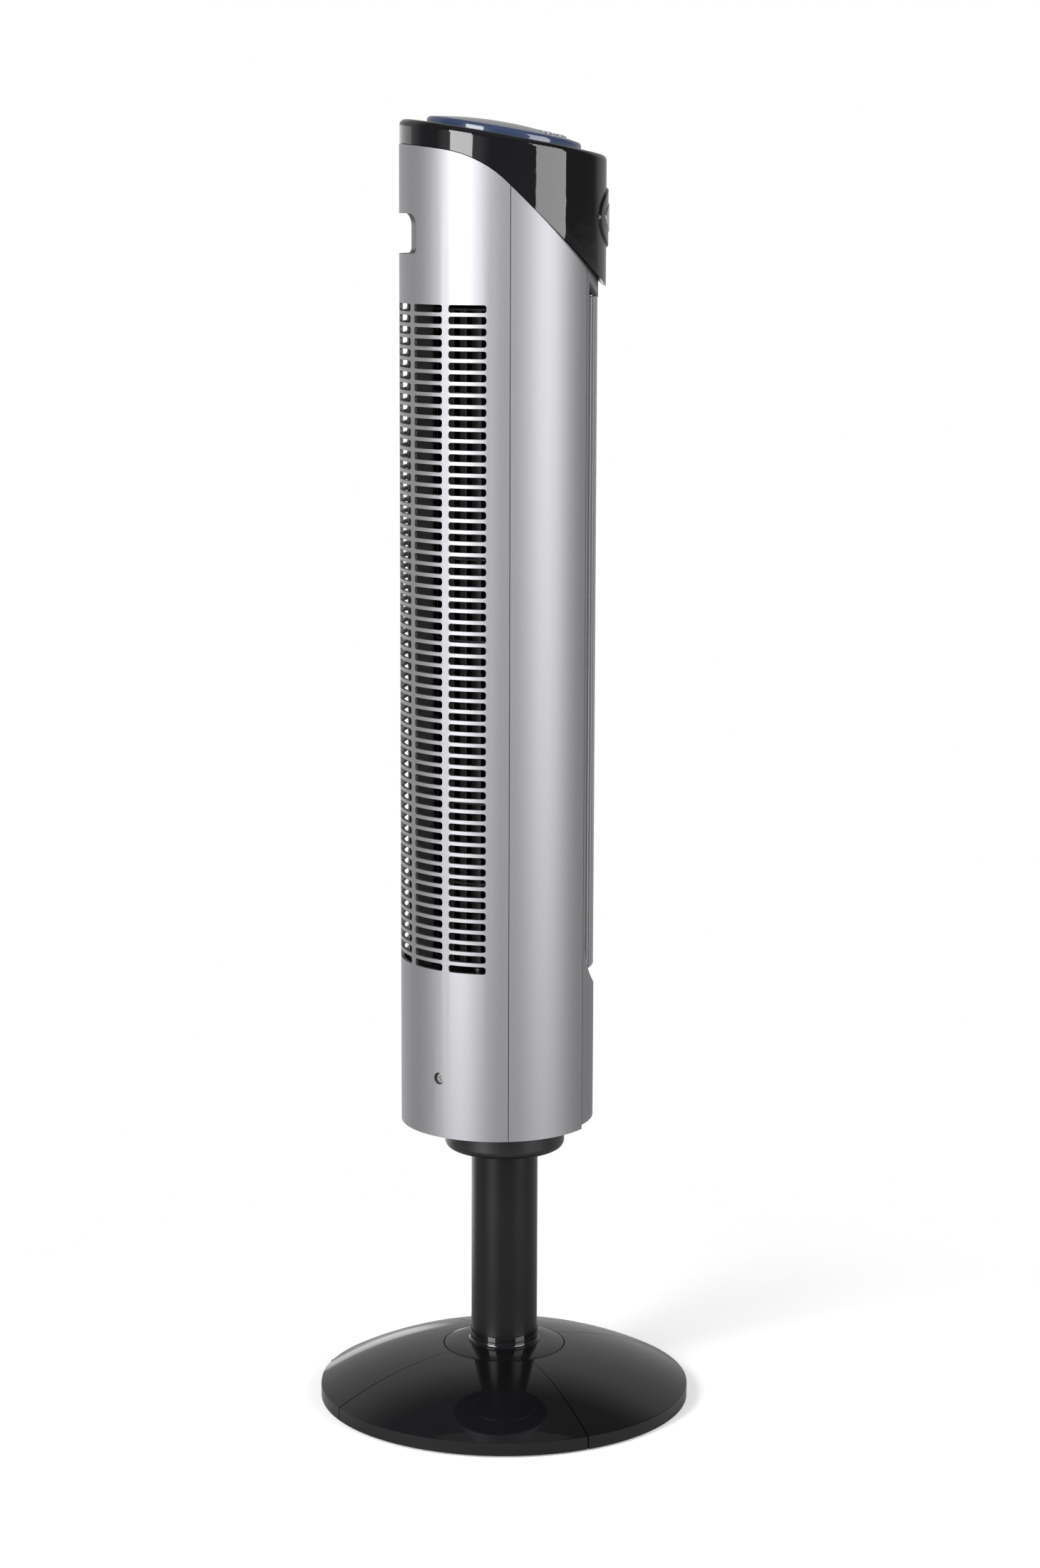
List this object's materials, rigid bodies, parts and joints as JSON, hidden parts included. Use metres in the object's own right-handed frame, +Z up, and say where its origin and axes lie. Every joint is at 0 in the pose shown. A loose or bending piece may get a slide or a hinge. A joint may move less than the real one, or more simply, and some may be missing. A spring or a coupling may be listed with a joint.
{
  "type": "tower fan",
  "caption": "Slim tower fan that swivels on a round weighted base, with a slotted back, a sloping top with push buttons and a recessed carrying handle.",
  "frame": {"origin": "under the pole axis, on the surface that the feet stand on", "axes": "+Z up along the pole, the air outlet faces -Y"},
  "size_m": [0.3104, 0.3104, 1.067],
  "materials": {
    "black_gloss": "high gloss, moulded",
    "black_pole": "satin black enamel",
    "black_satin": "satin, moulded",
    "silver_body": "metallic silver paint",
    "grille_silver": "metallic silver paint",
    "pocket_silver": "metallic silver paint",
    "steel": "rough plate",
    "zinc_screws": "zinc plated",
    "bright_steel": "ground",
    "motor_metal": "zinc plated sheet",
    "inner_black": "moulded",
    "impeller_black": "moulded",
    "nylon_white": "natural nylon",
    "rubber_black": "soft rubber",
    "bronze_bush": "sintered",
    "blue_lens": "blue tinted clear plastic",
    "display_black": "dark printed plate",
    "display_blue": "lit panel",
    "board_green": "solder mask",
    "button_grey": "satin silver"
  },
  "bodies": {
    "stand": {"base_quarter_1": "black_gloss", "base_quarter_2": "black_gloss", "base_quarter_3": "black_gloss", "base_quarter_4": "black_gloss", "base_centre_disc": "black_gloss", "pole_foot_ring": "black_gloss", "base_bottom_plate": "inner_black", "base_ballast": "steel", "rubber_feet": "rubber_black", "base_screws": "zinc_screws", "cord_gland": "black_satin", "pole": "black_pole", "pole_bolts": "zinc_screws", "spindle_hub": "inner_black", "thrust_washer": "nylon_white", "fixed_gear": "nylon_white", "retaining_ring": "inner_black"},
    "tower": {"badge_disc": "silver_body", "badge_ring": "black_gloss", "bearing_holder": "rubber_black", "control_board": "board_green", "display_face": "display_black", "display_window": "display_blue", "front_panel": "silver_body", "front_shell": "silver_body", "handle_pocket": "pocket_silver", "lower_bulkhead": "inner_black", "motor_case": "motor_metal", "motor_mounts": "rubber_black", "motor_screws": "zinc_screws", "motor_stator": "steel", "outlet_grille": "grille_silver", "rear_shell": "silver_body", "scroll_wall": "inner_black", "shell_screws": "zinc_screws", "swing_bracket": "inner_black", "swing_motor": "motor_metal", "swing_motor_screws": "zinc_screws", "swivel_collar": "black_satin", "top_bush": "bronze_bush", "top_cap": "black_gloss", "top_lens": "blue_lens", "tower_floor": "inner_black", "upper_bulkhead": "inner_black", "vortex_tongue": "inner_black", "wiring_duct": "inner_black"},
    "impeller": {"impeller": "impeller_black", "drive_shaft": "bright_steel", "top_shaft": "bright_steel", "motor_rotor": "steel"},
    "pinion": {"drive_pinion": "nylon_white"},
    "power_key": {"power_button": "button_grey"},
    "speed_key": {"speed_button": "button_grey"},
    "swing_key": {"swing_button": "button_grey"},
    "timer_key": {"timer_button": "button_grey"},
    "mode_key": {"mode_button": "button_grey"}
  },
  "joints": [
    {"name": "tower_swivel", "type": "hinge", "parent": "stand", "child": "tower", "pos_m": [0, 0, 0.24], "axis": [0, 0, 1], "range_deg": [-67, 23]},
    {"name": "impeller_spin", "type": "hinge", "parent": "tower", "child": "impeller", "pos_m": [0, 0.0064, 0.65], "axis": [0, 0, 1], "continuous": true},
    {"name": "pinion_spin", "type": "hinge", "parent": "tower", "child": "pinion", "pos_m": [0, 0.045, 0.253], "axis": [0, 0, 1], "range_deg": [-270, 94]},
    {"name": "power_press", "type": "slide", "parent": "tower", "child": "power_key", "axis": [0, 0.1724, -0.985], "range_m": [0, 0.001], "stiffness_N_per_m": 800, "springref_m": -0.001},
    {"name": "speed_press", "type": "slide", "parent": "tower", "child": "speed_key", "axis": [0, 0.1724, -0.985], "range_m": [0, 0.001], "stiffness_N_per_m": 800, "springref_m": -0.001},
    {"name": "swing_press", "type": "slide", "parent": "tower", "child": "swing_key", "axis": [0, 0.1724, -0.985], "range_m": [0, 0.001], "stiffness_N_per_m": 800, "springref_m": -0.001},
    {"name": "timer_press", "type": "slide", "parent": "tower", "child": "timer_key", "axis": [0, 0.1724, -0.985], "range_m": [0, 0.001], "stiffness_N_per_m": 800, "springref_m": -0.001},
    {"name": "mode_press", "type": "slide", "parent": "tower", "child": "mode_key", "axis": [0, 0.1724, -0.985], "range_m": [0, 0.001], "stiffness_N_per_m": 800, "springref_m": -0.001}
  ],
  "couplings": [
    {"joint": "pinion_spin", "follows": "tower_swivel", "ratio": 4}
  ]
}
